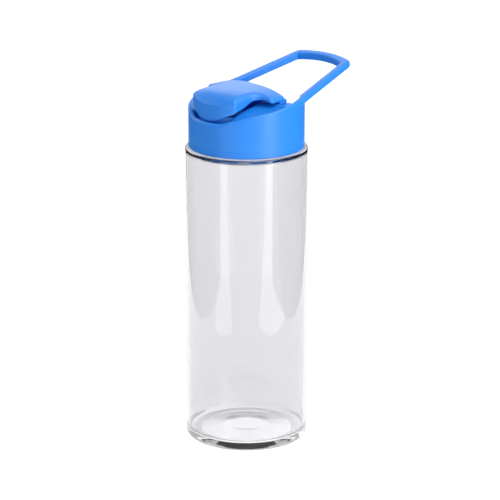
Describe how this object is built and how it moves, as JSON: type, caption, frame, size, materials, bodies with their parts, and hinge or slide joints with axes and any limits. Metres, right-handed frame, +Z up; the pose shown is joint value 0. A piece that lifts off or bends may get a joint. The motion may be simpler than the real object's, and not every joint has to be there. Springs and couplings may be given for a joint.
{
  "type": "sports bottle",
  "caption": "Clear straight-sided drinking bottle with a blue screw cap, a carrying loop moulded on the cap, and a hinged flip cover over a soft spout.",
  "frame": {"origin": "centre of the base, on the surface the bottle stands on", "axes": "+Z up the bottle's axis, -Y towards the spout, +Y towards the carrying loop, X from side to side along the hinge pins"},
  "size_m": [0.0736, 0.1067, 0.2278],
  "materials": {
    "clear_body": null,
    "cap_blue": "satin moulded polypropylene",
    "cover_blue": "satin moulded polypropylene",
    "spout_blue": "soft blue silicone",
    "silicone": "translucent white silicone",
    "pin": "bright wire"
  },
  "bodies": {
    "bottle": {"bottle_body": "clear_body"},
    "lift": {"neck_gasket": "silicone"},
    "cap": {"screw_cap": "cap_blue", "drinking_spout": "spout_blue", "vent_valve": "silicone", "hinge_pin_left": "pin", "hinge_pin_right": "pin"},
    "cover": {"flip_cover": "cover_blue", "spout_plug": "spout_blue"}
  },
  "joints": [
    {"name": "cap_lift", "type": "slide", "parent": "bottle", "child": "lift", "axis": [0, 0, 1], "range_m": [0, 0.018]},
    {"name": "cap_turn", "type": "hinge", "parent": "lift", "child": "cap", "pos_m": [0, 0, 0.19], "axis": [0, 0, 1], "range_deg": [0, 1080]},
    {"name": "cover_flip", "type": "hinge", "parent": "cap", "child": "cover", "pos_m": [0, 0.0035, 0.2078], "axis": [-1, 0, 0], "range_deg": [0, 100]}
  ],
  "couplings": [
    {"joint": "cap_lift", "follows": "cap_turn", "m_per_rad": 0.00095493}
  ]
}
